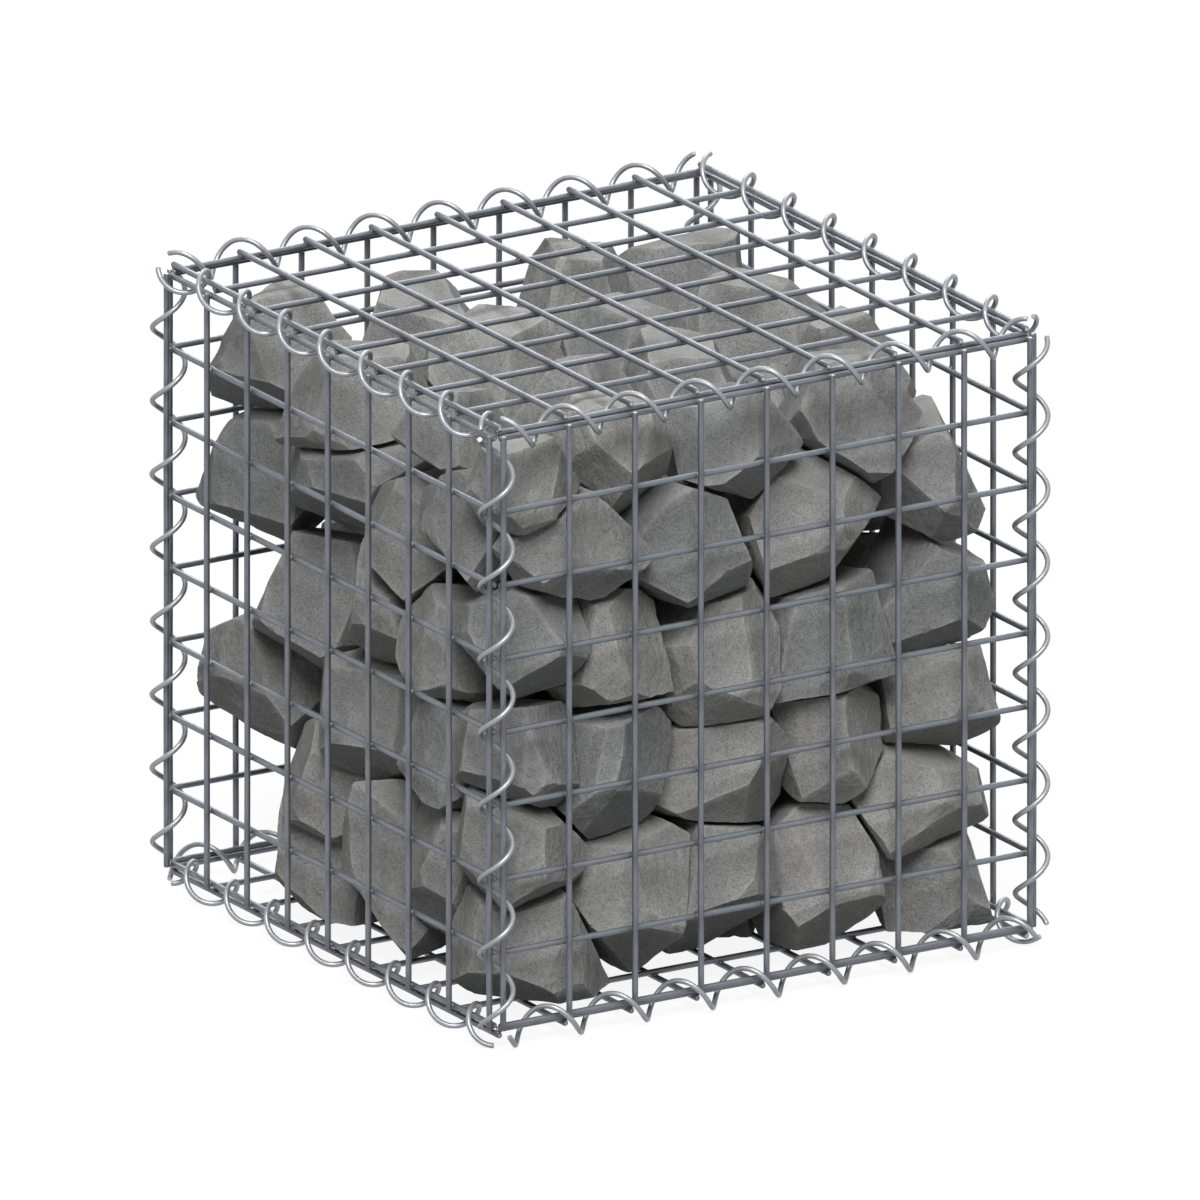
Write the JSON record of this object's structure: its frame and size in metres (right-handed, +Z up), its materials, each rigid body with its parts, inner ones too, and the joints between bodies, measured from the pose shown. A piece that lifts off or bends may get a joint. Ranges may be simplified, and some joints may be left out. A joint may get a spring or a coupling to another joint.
{
  "type": "filled gabion basket",
  "caption": "Cube-shaped gabion: welded mesh panels laced along every edge with spiral binders round a fill of angular stones.",
  "frame": {"origin": "on the ground, under the middle of the basket", "axes": "+Z up; the front panel faces -Y, the left panel faces -X"},
  "size_m": [0.4314, 0.4314, 0.4315],
  "materials": {
    "mesh_wire": "galvanised, dull",
    "spiral_wire": "galvanised, satin",
    "stone": "broken, fine grained, matt"
  },
  "bodies": {
    "root": {"front_panel": "mesh_wire", "back_panel": "mesh_wire", "left_panel": "mesh_wire", "right_panel": "mesh_wire", "top_panel": "mesh_wire", "bottom_panel": "mesh_wire", "top_front_spiral": "spiral_wire", "top_back_spiral": "spiral_wire", "bottom_front_spiral": "spiral_wire", "bottom_back_spiral": "spiral_wire", "top_left_spiral": "spiral_wire", "top_right_spiral": "spiral_wire", "bottom_left_spiral": "spiral_wire", "bottom_right_spiral": "spiral_wire", "front_left_spiral": "spiral_wire", "front_right_spiral": "spiral_wire", "back_left_spiral": "spiral_wire", "back_right_spiral": "spiral_wire", "stone_course_1": "stone", "stone_course_2": "stone", "stone_course_3": "stone", "stone_course_4": "stone", "stone_course_5": "stone"}
  },
  "joints": []
}
